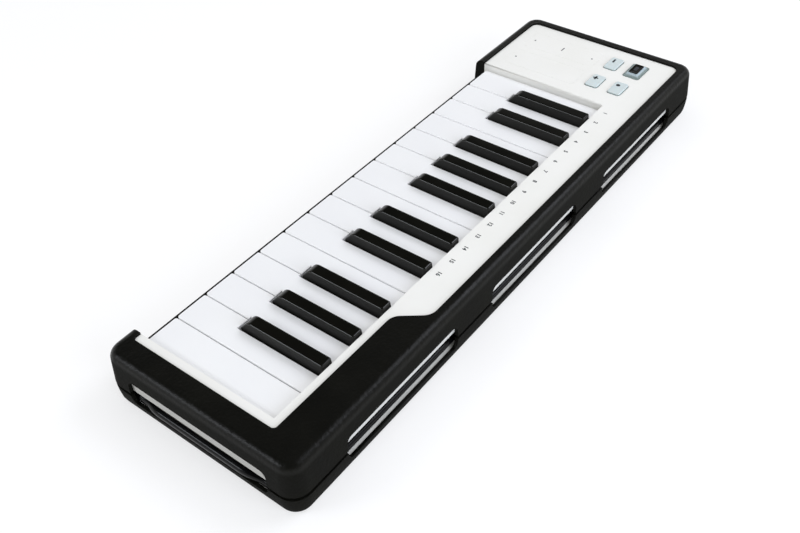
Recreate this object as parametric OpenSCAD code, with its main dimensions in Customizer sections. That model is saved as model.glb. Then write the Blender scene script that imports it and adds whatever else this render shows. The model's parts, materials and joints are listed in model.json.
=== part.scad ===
// Slim-key controller keyboard in a two-part rubber sleeve, with its own cable wrapped in a groove.
// Millimetres. +X is the player's right, +Y the back, +Z up. The origin is on the table under the middle.

/* [Sleeve] */
// Width over the sleeve at its widest line
overall_w = 406; // [405.5:0.5:410]
// Depth over the sleeve at its widest line
overall_d = 129; // [129:0.5:131]
// Height of the sleeve's rim above the table
rim_top = 34; // [33.8:0.1:34.5]
// Thickness of the rubber wall
rubber_wall = 2.4; // [2.2:0.1:2.4]
// Plan radius of the sleeve's upright corners
sleeve_corner_r = 10.5; // [9:0.5:13]
// Radius of the rim's outer edge
rim_round = 5; // [4:0.5:6]
// Height of the slit between the sleeve's two halves
slit_z = 12.9; // [12.8:0.05:13]
// Width of the slit
slit_gap = 2.2; // [1.2:0.1:2.2]
// Height of the low rail in front of the keys
rail_top = 18.4; // [17.6:0.1:18.8]
// Length of a cable window at the back
window_len = 89; // [80:1:92]
// Heights of a back window's lower and upper edges
window_span = [6.2, 21.8]; // [6:0.1:22]
// Length of the cable window at each end
end_window_len = 93; // [86:1:94]
// Heights of an end window's lower and upper edges
end_window_span = [6.7, 22.7]; // [6.5:0.1:23.5]

/* [Keys] */
// Distance from one white key to the next
key_pitch = 20.5; // [20.3:0.1:20.5]
// Gap between two white keys
key_gap = 0.7; // [0.5:0.1:1]
// Height of the white keys' tops above the table
key_top = 28.5; // [28.3:0.1:28.5]
// Length of a white key in front of the rear border
key_shown = 88.9; // [86:0.1:89.5]
// Height of a black key above the white keys
black_rise = 6.4; // [6:0.1:6.8]
// Width of a black key at its foot
black_foot_w = 7.7; // [7.5:0.1:8]
// Width of a black key's flat top
black_top_w = 7.3; // [6.8:0.1:7.4]
// How far a key turns when it is pressed, in degrees
key_turn = 3.35; // [2.5:0.05:3.35]

/* [Panel] */
// Height of the panel's face above the table
panel_top = 32.7; // [32.5:0.1:32.9]
// Width and depth of a small button
small_button = [14.4, 8.8]; // [8:0.1:16]
// Width and depth of the tall button
tall_button = [17.6, 11.4]; // [10:0.1:18]
// Height that a small button stands above the panel
button_rise = 1.1; // [1:0.1:2]
// Width and length of a touch strip
touch_strip = [19, 54]; // [15:0.5:56]

/* [Cable] */
// Diameter of the cable
cable_d = 4.2; // [3.8:0.1:4.2]
// Distance from the sleeve's widest line to the cable's middle, along the back and the front
cable_inset = 5.8; // [5.7:0.05:5.9]
// The same distance at the two ends, where the cable lies against the sleeve
cable_end_inset = 4.6; // [4.6:0.05:4.8]
// Radius of the cable's bends
cable_bend_r = 9; // [8.5:0.1:9.5]
// How far the cable swings out through the right-hand window, outwards and upwards
cable_swing = [2.45, 1.6]; // [1.5:0.05:2.45]

/* [Hidden] */
$fn = 64;
whites = 15;
blacks = 10;
white_steps = [0, 2, 4, 5, 7, 9, 11];
black_steps = [1, 3, 6, 8, 10];

function two_digits(n) = str(n < 10 ? "0" : "", n);
function white_name(i) = str("white_key_", two_digits(i + 1));
function black_name(i) = str("black_key_", two_digits(i + 1));

// Clearances
fit = 0.1;
slip = 0.3;
rod_play = 0.05;
eps = 0.01;

// Colours
rubber_black = "#1b1b1a";
case_white = "#efefec";
key_white = "#edeef3";
key_black = "#1a1a1d";
button_grey = "#cbd6d8";
board_green = "#2e5d3b";
steel = "#b9bcc0";
silicone_grey = "#8d9296";
felt_red = "#7a2f35";
ribbon_cream = "#d8d4c8";
cable_black = "#161616";

// Plan of the key bed, from the sleeve's widest line
key_left = -overall_w / 2 + 76.7;
key_front = -overall_d / 2 + 10.25;
key_side_gap = 0.6;
// The lowest key reaches a little past its share of the width
first_key_reach = 0.7;
well_left = key_left - first_key_reach - key_side_gap;
well_right = key_left + whites * key_pitch + 0.5;
well_back = key_front + key_shown;

// The sleeve's two posts at the front close the ends of the case with rubber
post_gap = 0.2;

// Plan of the raised panel
panel_left = -overall_w / 2 + 9.6;
panel_front = key_front - 1.95;
panel_back = key_front + 109.8;
panel_right = well_right + 5.1;
border_back = well_back + 4.95;
panel_corner_r = 5;
panel_gap = 0.15;
border_corner_r = 2;
// The wave where the rubber field widens behind the keys: two equal arcs and their common tangent
wave_left = key_left + 209.8;
wave_right = wave_left + 20.6;
wave_r = 8.6;
wave_centres = [wave_right - wave_left, panel_back - border_back - 2 * wave_r];
wave_turn = atan2(wave_centres[1], wave_centres[0]) + asin(2 * wave_r / norm(wave_centres));

// Windows along the back
window_step = window_len + 32.5;

// Heights of the case
foot_ring = 1.8;
floor_z = 4;
case_bottom = 2;
groove_floor = 5.7;
// Beside the cable the upper case's wall ends above the slit, and a set-back ledge closes the case
wall_low = slit_z + 3.2;
end_wall_low = slit_z + 0.9;
ledge_top = wall_low + 1.4;
case_top = rim_top - 3.4;
plate = 2.2;
panel_under = panel_top - plate;
case_inset = rubber_wall + fit;
case_corner_r = sleeve_corner_r - case_inset;
case_wall = 2.2;
ledge_inset = 6;
cable_run = overall_w / 2 - sleeve_corner_r;
cable_end_run = overall_d / 2 - sleeve_corner_r;
groove_inset = 8;
inner_inset = 9.5;
foot_ring_inset = 10;
// The groove's back wall turns each corner about the same point as the cable's bend
groove_corner_r = cable_inset + cable_bend_r - groove_inset;
inner_corner_r = groove_corner_r - inner_inset + groove_inset;

// Key levers, measured from the pivot at the back
pivot_y = key_front + 102.75;
pivot_z = 20;
rod_r = 1.25;
tail_w = 8.6;
tail_low = 15.6;
tail_high = 24.4;
tail_end = pivot_y + 5.9;
tail_step_y = well_back + 3.8;
skirt_low = 14.5;
neck_low = 16;
skin = 2.2;
side_wall = 1.4;
black_front = key_front + 32.4;
black_top_front = key_front + 37.75;
black_back = well_back - 0.4;
head_back = black_front - 0.9;
black_room = black_foot_w / 2 + 1;
actuator_y = pivot_y - 38.5;
actuator_low = 11.9;
stop_front = black_front + 1.9;
stop_back = stop_front + 8;
stop_low = 9.9;
upstop_front = pivot_y + 3.1;
upstop_low = 13.4;

// Place of a key's tail: the five from C to E and the seven from F to B share their space evenly
function octave_of(s) = floor(s / 12);
function step_of(s) = s % 12;
function tail_x(s) = key_left + key_pitch * (octave_of(s) * 7
    + (step_of(s) < 5 ? (step_of(s) + 0.5) * 3 / 5 : 3 + (step_of(s) - 4.5) * 4 / 7));
function white_step(i) = floor(i / 7) * 12 + white_steps[i % 7];
function black_step(i) = floor(i / 5) * 12 + black_steps[i % 5];
function is_black(s) = s >= 0 && s < 24 && len(search(step_of(s), black_steps)) > 0;
all_steps = [for (s = [0 : 24]) s];
ear_seams = [0, 3, 7, 10, 14, 15];

// Boards and the parts on them
board = 1.6;
inner_left = -overall_w / 2 + 8;
board_left = inner_left + 4.5;
board_right = well_left - 4.1;
main_board_left = inner_left + 25;
main_board_half = 40;
panel_board_front = key_front + 61.25;
panel_board_back = panel_back - 7.35;
ribbon = 0.3;
chassis_plate = 2;
key_board_z = floor_z + chassis_plate;
contact_base = 0.8;
dome_h = 3.2;
panel_board_z = 24.6;
mat_base = 0.8;
button_flange = 1.2;
button_flange_top = panel_under - 0.2;
button_flange_h = 1.4;
left_column = key_left - 48.6;
right_column = key_left - 23.15;
front_row = key_front + 71.3;
back_row = key_front + 87.8;
button_places = [[left_column, front_row], [right_column, front_row], [right_column, back_row]];
tall_place = [left_column, back_row];
strip_places = [[key_left - 47, key_front + 33.1], [key_left - 21.2, key_front + 33.1]];
strip_deep = 0.6;
strip_groove = 0.06;
tall_top = [11, 6.2];
cap_h = 0.7;
tall_rise = 2.6;

// Screws
screw_r = 1.2;
screw_play = 0.05;
case_screw_columns = [inner_left + 17, board_right - 5, panel_right + 2];
case_screw_y = 46;
case_screw_places = [for (x = case_screw_columns, y = [-case_screw_y, case_screw_y]) [x, y]];
chassis_screw_columns = [well_left + 17, (well_left + well_right) / 2, well_right - 17];
chassis_screw_places = [for (x = chassis_screw_columns, y = [key_front + 14, actuator_y + 24]) [x, y]];
main_screw_places = [for (x = [main_board_left + 5, board_right - 5], y = [-34, 34]) [x, y]];
panel_screw_left = board_left + 2.5;
panel_screw_right = board_right - 3;
panel_screw_front = panel_board_front + 4;
panel_screw_places = [[panel_screw_left, panel_screw_front], [panel_screw_left, panel_board_back - 5],
                      [panel_screw_right, panel_screw_front], [panel_screw_right, panel_board_back - 10]];
boss_low = 7;
boss_r = 3.5;
head_r = 2.4;
head_h = 1.4;

// Cable route: out of the case at the left end, round the back, the right end and the front, to the plug
cable_z = groove_floor + cable_d / 2 + fit;
cable_x = overall_w / 2 - cable_end_inset;
cable_y = overall_d / 2 - cable_inset;
outlet_y = 5;
header_x = main_board_left - 1;
// The swing has an S at each end of the window and lies in one tilted plane
swing_start = end_window_len / 2 - 3.5;
swing_len = 16;
swing_out = norm(cable_swing);
swing_tilt = atan2(cable_swing[1], cable_swing[0]);
swing_turn = 2 * atan2(swing_out, swing_len);
swing_r = swing_len / 2 / sin(swing_turn);
plug_size = [15.5, 22, 6.2];
plug_x = -overall_w / 2 + 2.9 + plug_size[0] / 2;
plug_back = key_front + 6.25;
plug_z = groove_floor + fit + plug_size[2] / 2;
shell_size = [12, 12, 4.5];
grommet_x = inner_left + 14;
pocket_right = inner_left + 12;
pocket_back = plug_back + plug_size[1] + shell_size[1] + 0.5;

// Plan and section helpers
function arc(middle, r, from, to, steps = 8) =
    [for (i = [0 : steps]) let (a = from + (to - from) * i / steps) middle + r * [cos(a), sin(a)]];

module rounded_rect(size, r) {
    square([size[0] - 2 * r, size[1]], center = true);
    square([size[0], size[1] - 2 * r], center = true);
    for (x = [-1, 1], y = [-1, 1])
        translate([x * (size[0] / 2 - r), y * (size[1] / 2 - r)]) circle(r);
}

module slab(inset, r, low, high) {
    translate([0, 0, low])
        linear_extrude(high - low) rounded_rect([overall_w - 2 * inset, overall_d - 2 * inset], r);
}

module block(low, high) {
    translate(low) cube(high - low);
}

// Outer form of the sleeve: a section of [inset, height] points carried round the four corners
module loaf(section) {
    r = sleeve_corner_r;
    outline = concat([[0, section[0][1]]], [for (p = section) [r - p[0], p[1]]],
                     [[0, section[len(section) - 1][1]]]);
    hull()
        for (x = [-1, 1], y = [-1, 1])
            translate([x * (overall_w / 2 - r), y * (overall_d / 2 - r), 0])
                rotate_extrude($fn = 48) polygon(outline);
}

// The raised panel's plan, grown or shrunk by a margin, with the wave at the back
module panel_plan(grow) {
    polygon(concat(
        arc([panel_left, panel_front] + panel_corner_r * [1, 1], panel_corner_r + grow, 180, 270),
        arc([panel_right - border_corner_r, panel_front + border_corner_r], border_corner_r + grow, 270, 360),
        arc([panel_right, border_back] - border_corner_r * [1, 1], border_corner_r + grow, 0, 90),
        arc([wave_right, border_back + wave_r], wave_r - grow, 270, 270 - wave_turn, 10),
        arc([wave_left, panel_back - wave_r], wave_r + grow, 90 - wave_turn, 90, 10),
        arc([panel_left + panel_corner_r, panel_back - panel_corner_r], panel_corner_r + grow, 90, 180)));
}

// A cable window's elevation
module window_shape(length, span) {
    corner_r = 4;
    translate([0, (span[0] + span[1]) / 2]) rounded_rect([length, span[1] - span[0]], corner_r);
}

module windows() {
    deep = 12;
    for (i = [-1 : 1])
        translate([i * window_step, overall_d / 2 + 1, 0])
            rotate([90, 0, 0]) linear_extrude(deep) window_shape(window_len, window_span);
    for (x = [-1, 1])
        translate([x * (overall_w / 2 + 1), 0, 0])
            rotate([90, 0, -90 * x]) linear_extrude(deep) window_shape(end_window_len, end_window_span);
}

// Rubber end walls of the two front posts, grown by a margin
module post_walls(grow) {
    for (x = [well_left - rubber_wall, well_right + post_gap])
        block([x - grow, -overall_d, rail_top - grow],
              [x + rubber_wall + grow, panel_front - panel_gap + grow, rim_top]);
}

// Sleeve
module upper_sleeve() {
    low = slit_z + slit_gap / 2;
    lean = 1.2;
    shoulder = rim_top - rim_round;
    color(rubber_black) difference() {
        loaf(concat([[0, low]],
            [for (a = [0 : 15 : 90]) [lean + rim_round * (1 - cos(a)), shoulder + rim_round * sin(a)]]));
        difference() {
            slab(rubber_wall, case_corner_r + fit, low - 1, case_top + 0.2);
            post_walls(0);
        }
        translate([0, 0, case_top - 1]) linear_extrude(rim_top) panel_plan(panel_gap);
        block([well_left, -overall_d, rail_top], [well_right + post_gap, well_back, rim_top + 1]);
        windows();
    }
}

module lower_sleeve() {
    high = slit_z - slit_gap / 2;
    color(rubber_black) difference() {
        loaf([[2.6, 0], [1.7, 0.8], [0.9, 3.2], [0.3, 7.4], [0, high]]);
        slab(rubber_wall, case_corner_r + fit, foot_ring, high + 1);
        slab(foot_ring_inset, inner_corner_r, -1, foot_ring + 1);
        windows();
    }
}

// Case
module top_case() {
    color(case_white) difference() {
        union() {
            difference() {
                union() {
                    slab(case_inset, case_corner_r, slit_z, case_top);
                    translate([0, 0, case_top - 1]) linear_extrude(panel_top - case_top + 1) panel_plan(0);
                }
                slab(case_inset + case_wall, case_corner_r - case_wall, ledge_top, case_top - plate);
                slab(inner_inset, inner_corner_r, slit_z - 1, ledge_top + 1);
                translate([0, 0, case_top - plate - 1])
                    linear_extrude(panel_under - case_top + plate + 1) difference() {
                        panel_plan(-2);
                        translate([well_left - 2, -overall_d])
                            square([well_right - well_left + 4, well_back + 2 + overall_d]);
                    }
                // Room for the cable, and the key well behind the sleeve's rail and posts
                cable_room();
                block([well_left, -overall_d, rail_top - 1.2], [well_right, well_back, rim_top]);
                post_walls(fit);
                block([well_left, well_back - 1, key_top - 2], [well_right, well_back + 6, key_top + 0.8]);
            }
            // Walls beside the key well
            for (x = [well_left - 2, well_right])
                block([x, panel_front, ledge_top - 1], [x + 2, well_back + 8, case_top]);
            for (p = case_screw_places)
                translate([p[0], p[1], boss_low]) cylinder(r = boss_r, h = panel_under + 0.05 - boss_low);
            for (p = panel_screw_places)
                translate([p[0], p[1], panel_board_z + board])
                    cylinder(r = 2.5, h = panel_under - panel_board_z - board + 1);
        }
        for (p = case_screw_places)
            translate([p[0], p[1], boss_low - 1]) cylinder(r = screw_r + screw_play, h = 14);
        for (p = panel_screw_places)
            translate([p[0], p[1], panel_board_z]) cylinder(r = screw_r + screw_play, h = board + 4);
        for (p = button_places) button_hole(p, small_button);
        button_hole(tall_place, tall_button);
        for (p = strip_places)
            translate([p[0], p[1], panel_top - strip_deep - fit])
                linear_extrude(2) rounded_rect(touch_strip + 2 * strip_groove * [1, 1], 2);
    }
}

// Room beside the cable, along the back and at the two ends
module cable_room() {
    block([-cable_run, overall_d / 2 - ledge_inset, slit_z - 1], [cable_run, overall_d, wall_low]);
    for (x = [-overall_w, overall_w / 2 - ledge_inset])
        block([x, -cable_end_run, slit_z - 1], [x + overall_w / 2 + ledge_inset, cable_end_run, end_wall_low]);
}

module button_hole(place, size) {
    translate([place[0], place[1], panel_under - 1])
        linear_extrude(plate + 2) rounded_rect(size + 2 * slip * [1, 1], 1.8);
}

module bottom_case() {
    bracket = 3;
    color(case_white) difference() {
        union() {
            difference() {
                union() {
                    slab(case_inset, case_corner_r, case_bottom, groove_floor);
                    slab(groove_inset, groove_corner_r, case_bottom, slit_z - fit);
                }
                slab(inner_inset, inner_corner_r, floor_z, slit_z + 1);
            }
            for (p = case_screw_places)
                translate([p[0], p[1], case_bottom]) cylinder(r = 4.5, h = boss_low - fit - case_bottom);
            for (p = main_screw_places)
                translate([p[0], p[1], floor_z - 1]) cylinder(r = 2.6, h = key_board_z - floor_z + 1);
            // Block that the plug's pocket is cut in, and the grommet's bracket
            block([-overall_w / 2 + inner_inset - 1, plug_back - 6, floor_z - 1],
                  [pocket_right + 1, pocket_back + 1.5, slit_z - fit]);
            block([grommet_x - bracket / 2, outlet_y - 6, floor_z - 1],
                  [grommet_x + bracket / 2, outlet_y + 6, slit_z - slip]);
        }
        for (p = case_screw_places) {
            translate([p[0], p[1], case_bottom - 1]) cylinder(r = screw_r + screw_play, h = boss_low);
            translate([p[0], p[1], case_bottom - 1]) cylinder(r = head_r + slip, h = head_h + 2);
        }
        for (p = main_screw_places)
            translate([p[0], p[1], floor_z - 1]) cylinder(r = screw_r + screw_play, h = 4);
        for (p = chassis_screw_places)
            translate([p[0], p[1], floor_z - 1.6]) cylinder(r = screw_r + screw_play, h = 3);
        // The plug's pocket, open to the groove, and the cable's way out
        block([-overall_w / 2, -overall_d / 2, groove_floor], [pocket_right, pocket_back, slit_z + 1]);
        block([-overall_w / 2, outlet_y - 3, groove_floor], [grommet_x - 7, outlet_y + 12, slit_z + 1]);
        translate([grommet_x, outlet_y, cable_z]) rotate([0, 90, 0]) cylinder(r = 3.2, h = 10, center = true);
    }
}

// Key mechanism
module key_chassis() {
    left = well_left + 0.2;
    right = well_right - 0.2;
    color("#3a3b3e") difference() {
        union() {
            block([left, key_front + 2, floor_z], [right, tail_end, key_board_z]);
            block([left, stop_front, floor_z], [right, stop_back, stop_low]);
            block([left, upstop_front, floor_z], [right, tail_end, upstop_low]);
            for (s = ear_seams)
                translate([key_left + s * key_pitch, 0, 0])
                    block([-0.9, pivot_y - 3.5, floor_z], [0.9, pivot_y + 3, pivot_z + 3.5]);
        }
        translate([0, pivot_y, pivot_z])
            rotate([0, 90, 0]) cylinder(r = rod_r + 0.02, h = overall_w, center = true);
        for (p = chassis_screw_places)
            translate([p[0], p[1], 0]) cylinder(r = screw_r + screw_play, h = 20);
    }
}

module pivot_rod() {
    color(steel) translate([key_left - 0.9, pivot_y, pivot_z])
        rotate([0, 90, 0]) cylinder(r = rod_r, h = whites * key_pitch + 1.8);
}

module upstop_felt() {
    color(felt_red)
        block([well_left + 1, upstop_front, upstop_low], [well_right - 1, tail_end, tail_low - fit / 2]);
}

module downstop_felt() {
    color(felt_red)
        block([well_left + 1, stop_front, stop_low], [well_right - 1, stop_back, stop_low + 2]);
}

module tail(s) {
    translate([tail_x(s), 0, 0]) difference() {
        union() {
            block([-tail_w / 2, tail_step_y - 4, tail_low], [tail_w / 2, tail_end, tail_high]);
            block([-2, actuator_y - 2, actuator_low], [2, actuator_y + 2, key_top - 1]);
        }
        translate([0, pivot_y, pivot_z])
            rotate([0, 90, 0]) cylinder(r = rod_r + rod_play, h = tail_w + 2, center = true);
    }
}

module white_key(i) {
    s = white_step(i);
    left = i == 0 ? key_left - first_key_reach : key_left + i * key_pitch + key_gap / 2;
    right = key_left + (i + 1) * key_pitch - key_gap / 2;
    neck_left = is_black(s - 1) ? tail_x(s - 1) + black_room : left;
    neck_right = is_black(s + 1) ? tail_x(s + 1) - black_room : right;
    color(key_white) union() {
        difference() {
            union() {
                block([left, key_front, skirt_low], [right, head_back, key_top]);
                block([neck_left, head_back - 1, neck_low], [neck_right, tail_step_y, key_top]);
            }
            block([left + side_wall, key_front + side_wall, skirt_low - 1],
                  [right - side_wall, head_back - side_wall, key_top - skin]);
            block([neck_left + side_wall, head_back - side_wall - 1, skirt_low - 1],
                  [neck_right - side_wall, tail_step_y - side_wall, key_top - skin]);
        }
        tail(s);
    }
}

module black_key(i) {
    s = black_step(i);
    half = black_foot_w / 2;
    thin = 0.1;
    color(key_black) union() {
        translate([tail_x(s), 0, 0]) difference() {
            union() {
                hull() {
                    block([-half, black_front, key_top - thin], [half, black_back, key_top]);
                    block([-black_top_w / 2, black_top_front, key_top + black_rise - thin],
                          [black_top_w / 2, black_back - 0.6, key_top + black_rise]);
                }
                block([-half, black_front, neck_low], [half, black_back, key_top]);
                block([-half, black_back - 1, neck_low], [half, tail_step_y, key_top - 1]);
            }
            block([-half + side_wall, black_front + side_wall, neck_low - 1],
                  [half - side_wall, tail_step_y - side_wall, key_top - skin]);
        }
        tail(s);
    }
}

// Boards and contacts
module key_board() {
    color(board_green) block([well_left + 2, actuator_y - 8, key_board_z],
                             [well_right - 2, actuator_y + 16, key_board_z + board]);
}

module contact_strip() {
    color(silicone_grey) union() {
        block([well_left + 3, actuator_y - 5, key_board_z + board],
              [well_right - 3, actuator_y + 5, key_board_z + board + contact_base]);
        for (s = all_steps)
            translate([tail_x(s), actuator_y, key_board_z + board + contact_base - eps])
                cylinder(r1 = 3.4, r2 = 2.4, h = dome_h);
    }
}

module key_ribbon() {
    low = key_board_z + board + fit / 2;
    color(ribbon_cream) block([board_right - 11, actuator_y + 7, low],
                              [well_left + 12, actuator_y + 15, low + ribbon]);
}

module main_board() {
    color(board_green) difference() {
        block([main_board_left, -main_board_half, key_board_z],
              [board_right, main_board_half, key_board_z + board]);
        for (p = main_screw_places)
            translate([p[0], p[1], 0]) cylinder(r = screw_r + screw_play, h = 20);
    }
}

module main_chip() {
    color("#202124") translate([main_board_left + 20, -12, key_board_z + board])
        linear_extrude(1.4) rounded_rect([12, 12], 0.4);
}

module boss_notches() {
    for (p = case_screw_places) translate([p[0], p[1], 0]) cylinder(r = boss_r + 0.7, h = rim_top);
}

module panel_board() {
    color(board_green) difference() {
        block([board_left, panel_board_front, panel_board_z],
              [board_right, panel_board_back, panel_board_z + board]);
        boss_notches();
        for (p = panel_screw_places)
            translate([p[0], p[1], 0]) cylinder(r = screw_r + screw_play, h = 40);
    }
}

module button_mat() {
    base = panel_board_z + board;
    color(silicone_grey) union() {
        block([left_column - 8, front_row - 4, base], [right_column + 8, back_row + 4, base + mat_base]);
        for (p = concat(button_places, [tall_place]))
            translate([p[0], p[1], base + mat_base - eps])
                linear_extrude(button_flange_top - button_flange_h - base - mat_base - fit / 2)
                    rounded_rect([6, 5], 1);
    }
}

module panel_ribbon() {
    color(ribbon_cream) block([main_board_left + 14, actuator_y + 14, key_board_z + board],
                              [main_board_left + 26, actuator_y + 14 + ribbon, panel_board_z]);
}

module touch_board() {
    color(board_green) difference() {
        block([board_left, key_front + 3, panel_under - slip - board],
              [board_right, panel_board_front - 1, panel_under - slip]);
        boss_notches();
    }
}

// Panel controls
module touch_strip_at(place) {
    color(case_white) translate([place[0], place[1], panel_top - strip_deep])
        linear_extrude(strip_deep) rounded_rect(touch_strip, 1.8);
}

module pitch_strip() {
    touch_strip_at(strip_places[0]);
}

module mod_strip() {
    touch_strip_at(strip_places[1]);
}

module button_stem(size, top) {
    translate([0, 0, button_flange_top - button_flange_h]) {
        linear_extrude(button_flange_h) rounded_rect(size + 2 * button_flange * [1, 1], 2);
        linear_extrude(top - button_flange_top + button_flange_h) rounded_rect(size, 1.5);
    }
}

module small_button_at(place) {
    color(button_grey) translate(place) button_stem(small_button, panel_top + button_rise);
}

module octave_down_button() {
    small_button_at(button_places[0]);
}

module octave_up_button() {
    small_button_at(button_places[1]);
}

module hold_button() {
    small_button_at(button_places[2]);
}

module shift_button() {
    foot = panel_top + 0.4;
    thin = 0.1;
    color("#8f9ea4") translate(tall_place) {
        button_stem(tall_button, foot);
        hull() {
            translate([0, 0, foot - thin]) linear_extrude(thin) square(tall_button - [2, 2], center = true);
            translate([0, 0, panel_top + tall_rise - cap_h - thin])
                linear_extrude(thin) square(tall_top + [0.8, 0.8], center = true);
        }
    }
}

module shift_cap() {
    color(key_black) translate([tall_place[0], tall_place[1], panel_top + tall_rise - cap_h])
        linear_extrude(cap_h) rounded_rect(tall_top, 0.8);
}

// Cable, as straight runs and bends
module run_x(from, to, y) {
    translate([from, y, 0]) rotate([0, 90, 0]) cylinder(d = cable_d, h = to - from);
}

module run_y(from, to, x, d = cable_d) {
    translate([x, from, 0]) rotate([-90, 0, 0]) cylinder(d = d, h = to - from);
}

module bend(middle, start, r = cable_bend_r, turn = 90, d = cable_d) {
    translate([middle[0], middle[1], 0]) rotate([0, 0, start])
        rotate_extrude(angle = turn) translate([r, 0]) circle(d = d, $fn = 32);
}

// The swing, from the line that the cable leaves. Every other piece is a hair thinner and laps into its neighbours
module swing() {
    near = swing_start - swing_len;
    thin = cable_d - 0.04;
    lap = 0.4;
    lap_turn = 1;
    bend([swing_r, swing_start], 180 - lap_turn, swing_r, swing_turn + 2 * lap_turn, thin);
    bend([swing_out - swing_r, near], 0, swing_r, swing_turn);
    run_y(-near - lap, near + lap, swing_out, thin);
    bend([swing_out - swing_r, -near], -swing_turn, swing_r, swing_turn);
    bend([swing_r, -swing_start], 180 - swing_turn - lap_turn, swing_r, swing_turn + 2 * lap_turn, thin);
}

module usb_cable() {
    r = cable_bend_r;
    color(cable_black) translate([0, 0, cable_z]) union() {
        run_x(-cable_x + r, header_x, outlet_y);
        bend([-cable_x + r, outlet_y + r], 180);
        run_y(outlet_y + r, cable_y - r, -cable_x);
        bend([-cable_x + r, cable_y - r], 90);
        run_x(-cable_x + r, cable_x - r, cable_y);
        bend([cable_x - r, cable_y - r], 0);
        run_y(swing_start, cable_y - r, cable_x);
        translate([cable_x, 0, 0]) rotate([0, -swing_tilt, 0]) swing();
        run_y(-cable_y + r, -swing_start, cable_x);
        bend([cable_x - r, -cable_y + r], 270);
        run_x(plug_x + r, cable_x - r, -cable_y);
        bend([plug_x + r, -cable_y + r], 180);
        run_y(-cable_y + r, plug_back, plug_x);
    }
}

module cable_header() {
    color("#e4e0d4") block([header_x, outlet_y - 5, key_board_z + board], [header_x + 8, outlet_y + 5, 11.4]);
}

module cable_grommet() {
    flange_h = 1.4;
    color(rubber_black) translate([grommet_x, outlet_y, cable_z]) rotate([0, 90, 0]) difference() {
        union() {
            cylinder(r = 3.1, h = 6, center = true);
            for (z = [-1, 1]) translate([0, 0, z * 2.4]) cylinder(r = 3.6, h = flange_h, center = true);
        }
        cylinder(d = cable_d + fit, h = 10, center = true);
    }
}

module plug_body() {
    color(cable_black) translate([plug_x, plug_back + plug_size[1] / 2, plug_z - plug_size[2] / 2])
        linear_extrude(plug_size[2]) rounded_rect([plug_size[0], plug_size[1]], 2);
}

module plug_shell() {
    skin_t = 0.4;
    color(steel) translate([plug_x, plug_back + plug_size[1], plug_z]) rotate([-90, 0, 0]) difference() {
        linear_extrude(shell_size[1]) rounded_rect([shell_size[0], shell_size[2]], 0.5);
        translate([0, 0, 1]) linear_extrude(shell_size[1])
            square([shell_size[0], shell_size[2]] - 2 * skin_t * [1, 1], center = true);
    }
}

// Screws point up from a head below, or down from a head above
module screw(length) {
    cylinder(r = screw_r, h = length);
    translate([0, 0, -head_h]) cylinder(r = head_r, h = head_h);
}

module case_screws() {
    color(steel) for (p = case_screw_places)
        translate([p[0], p[1], case_bottom + head_h + 1]) screw(12);
}

module chassis_screws() {
    color(steel) for (p = chassis_screw_places)
        translate([p[0], p[1], key_board_z]) mirror([0, 0, 1]) screw(3.4);
}

module board_screws() {
    color(steel) {
        for (p = main_screw_places)
            translate([p[0], p[1], key_board_z + board]) mirror([0, 0, 1]) screw(3.4);
        for (p = panel_screw_places)
            translate([p[0], p[1], panel_board_z]) screw(4.5);
    }
}

upper_sleeve();
lower_sleeve();
top_case();
bottom_case();
key_chassis();
pivot_rod();
upstop_felt();
downstop_felt();
key_board();
contact_strip();
key_ribbon();
main_board();
main_chip();
panel_board();
button_mat();
panel_ribbon();
touch_board();
pitch_strip();
mod_strip();
octave_down_button();
octave_up_button();
hold_button();
shift_button();
shift_cap();
usb_cable();
cable_header();
cable_grommet();
plug_body();
plug_shell();
case_screws();
chassis_screws();
board_screws();
for (i = [0 : whites - 1])
    white_key(i);
for (i = [0 : blacks - 1])
    black_key(i);
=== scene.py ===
"""Looks of a slim-key controller keyboard in a two-part rubber sleeve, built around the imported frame.

Sizes are written in millimetres, and MM turns them into the scene's metres.
+X is the player's right, +Y the back, +Z up.
"""
import json
import math

import bmesh
import bpy
from mathutils import Matrix, Vector


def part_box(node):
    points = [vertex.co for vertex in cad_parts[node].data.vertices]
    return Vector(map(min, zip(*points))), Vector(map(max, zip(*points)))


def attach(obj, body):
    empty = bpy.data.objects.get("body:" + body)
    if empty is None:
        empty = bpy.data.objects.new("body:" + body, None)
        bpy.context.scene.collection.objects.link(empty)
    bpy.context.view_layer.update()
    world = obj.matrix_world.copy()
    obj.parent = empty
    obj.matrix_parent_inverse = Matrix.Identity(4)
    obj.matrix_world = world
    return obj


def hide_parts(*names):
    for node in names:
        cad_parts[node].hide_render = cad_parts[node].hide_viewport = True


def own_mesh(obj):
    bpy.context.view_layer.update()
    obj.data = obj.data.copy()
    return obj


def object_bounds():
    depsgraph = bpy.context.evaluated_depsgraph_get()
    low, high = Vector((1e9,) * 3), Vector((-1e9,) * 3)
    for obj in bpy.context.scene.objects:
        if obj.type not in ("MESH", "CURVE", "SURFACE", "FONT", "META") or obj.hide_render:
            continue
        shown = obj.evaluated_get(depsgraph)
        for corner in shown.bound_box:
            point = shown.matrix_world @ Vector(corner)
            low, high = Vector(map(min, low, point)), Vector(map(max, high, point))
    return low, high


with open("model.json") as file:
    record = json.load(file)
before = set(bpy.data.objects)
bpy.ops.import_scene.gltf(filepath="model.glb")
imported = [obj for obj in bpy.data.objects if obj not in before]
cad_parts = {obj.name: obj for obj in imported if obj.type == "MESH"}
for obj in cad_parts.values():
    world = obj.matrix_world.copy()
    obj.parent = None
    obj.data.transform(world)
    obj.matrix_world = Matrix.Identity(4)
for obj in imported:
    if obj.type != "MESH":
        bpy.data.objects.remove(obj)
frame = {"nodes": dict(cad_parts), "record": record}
cad_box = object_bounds()

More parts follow.
